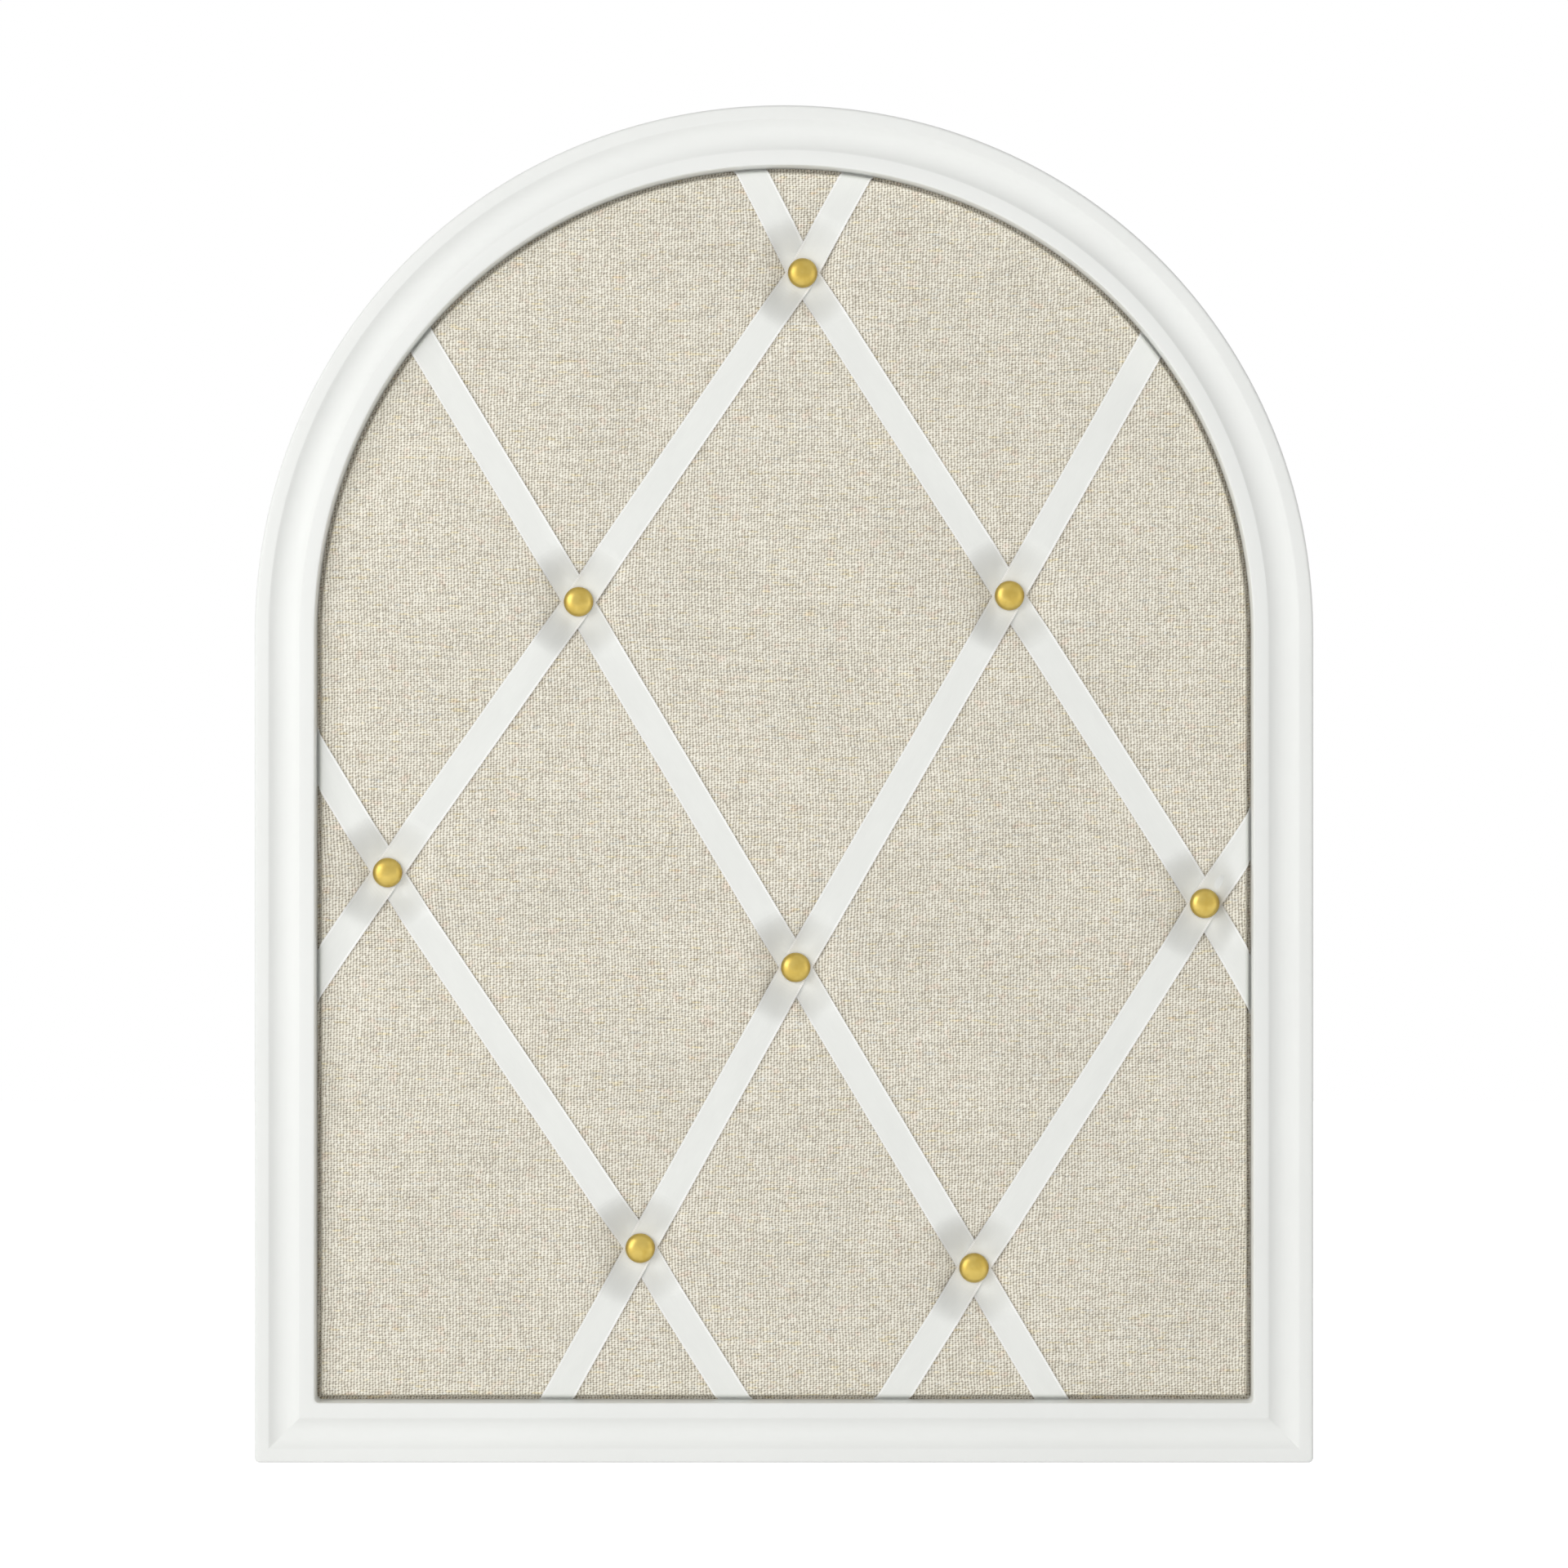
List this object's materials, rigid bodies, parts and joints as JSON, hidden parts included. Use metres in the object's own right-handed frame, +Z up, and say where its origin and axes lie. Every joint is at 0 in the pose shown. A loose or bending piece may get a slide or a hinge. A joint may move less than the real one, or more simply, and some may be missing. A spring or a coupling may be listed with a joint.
{
  "type": "french memo board",
  "caption": "Arched wall memo board: a lacquered wood frame round a padded linen panel, crossed by satin ribbons under domed tacks that hold cards and photos.",
  "frame": {"origin": "on the wall plane, midway between the two hooks that the raised hanger rings bear on", "axes": "+X to the right seen from the front, +Y towards the wall so that the front faces -Y, +Z up"},
  "size_m": [0.356, 0.0232, 0.4565],
  "materials": {
    "lacquered_wood": "white satin lacquer",
    "bare_wood": "unfinished",
    "fibreboard": "raw fibreboard",
    "foam": "soft foam padding",
    "linen": "beige plain-weave linen",
    "satin": "white satin ribbon",
    "brass": "smooth, bright",
    "steel": "zinc plated",
    "rubber": "matt"
  },
  "bodies": {
    "board": {"frame_arch": "lacquered_wood", "frame_bottom_rail": "lacquered_wood", "frame_stile_left": "lacquered_wood", "frame_stile_right": "lacquered_wood", "arch_dowel_left": "bare_wood", "arch_dowel_right": "bare_wood", "mitre_v_nail_left": "steel", "mitre_v_nail_right": "steel", "backer_board": "fibreboard", "foam_pad": "foam", "linen_cover": "linen", "ribbon_rising_left": "satin", "ribbon_rising_middle": "satin", "ribbon_rising_right": "satin", "ribbon_falling_left": "satin", "ribbon_falling_middle": "satin", "ribbon_falling_right": "satin", "staple_rising_left_start": "steel", "staple_rising_left_end": "steel", "staple_rising_middle_start": "steel", "staple_rising_middle_end": "steel", "staple_rising_right_start": "steel", "staple_rising_right_end": "steel", "staple_falling_left_start": "steel", "staple_falling_left_end": "steel", "staple_falling_middle_start": "steel", "staple_falling_middle_end": "steel", "staple_falling_right_start": "steel", "staple_falling_right_end": "steel", "tack_1": "brass", "tack_2": "brass", "tack_3": "brass", "tack_4": "brass", "tack_5": "brass", "tack_6": "brass", "tack_7": "brass", "tack_8": "brass", "turn_button_screw_arch_left": "steel", "turn_button_screw_arch_right": "steel", "turn_button_screw_stile_left": "steel", "turn_button_screw_stile_right": "steel", "turn_button_screw_rail_left": "steel", "turn_button_screw_rail_right": "steel", "hanger_strap_left": "steel", "hanger_strap_right": "steel", "hanger_screw_left": "steel", "hanger_screw_right": "steel", "wall_bumper_left": "rubber", "wall_bumper_right": "rubber"},
    "ring_left": {"hanger_ring_left": "steel"},
    "ring_right": {"hanger_ring_right": "steel"},
    "button_arch_left": {"turn_button_arch_left": "steel"},
    "button_arch_right": {"turn_button_arch_right": "steel"},
    "button_stile_left": {"turn_button_stile_left": "steel"},
    "button_stile_right": {"turn_button_stile_right": "steel"},
    "button_rail_left": {"turn_button_rail_left": "steel"},
    "button_rail_right": {"turn_button_rail_right": "steel"}
  },
  "joints": [
    {"name": "ring_left_swing", "type": "hinge", "parent": "board", "child": "ring_left", "pos_m": [-0.17115, -0.00255, -0.0095], "axis": [1, 0, 0], "range_deg": [0, 180]},
    {"name": "ring_right_swing", "type": "hinge", "parent": "board", "child": "ring_right", "pos_m": [0.17115, -0.00255, -0.0095], "axis": [1, 0, 0], "range_deg": [0, 180]},
    {"name": "button_arch_left_turn", "type": "hinge", "parent": "board", "child": "button_arch_left", "pos_m": [-0.08636, -0.0048, 0.16898], "axis": [0, 1, 0], "continuous": true},
    {"name": "button_arch_right_turn", "type": "hinge", "parent": "board", "child": "button_arch_right", "pos_m": [0.08636, -0.0048, 0.16898], "axis": [0, 1, 0], "continuous": true},
    {"name": "button_stile_left_turn", "type": "hinge", "parent": "board", "child": "button_stile_left", "pos_m": [-0.17115, -0.0048, -0.168], "axis": [0, 1, 0], "continuous": true},
    {"name": "button_stile_right_turn", "type": "hinge", "parent": "board", "child": "button_stile_right", "pos_m": [0.17115, -0.0048, -0.168], "axis": [0, 1, 0], "continuous": true},
    {"name": "button_rail_left_turn", "type": "hinge", "parent": "board", "child": "button_rail_left", "pos_m": [-0.054, -0.0048, -0.25115], "axis": [0, 1, 0], "continuous": true},
    {"name": "button_rail_right_turn", "type": "hinge", "parent": "board", "child": "button_rail_right", "pos_m": [0.054, -0.0048, -0.25115], "axis": [0, 1, 0], "continuous": true}
  ]
}
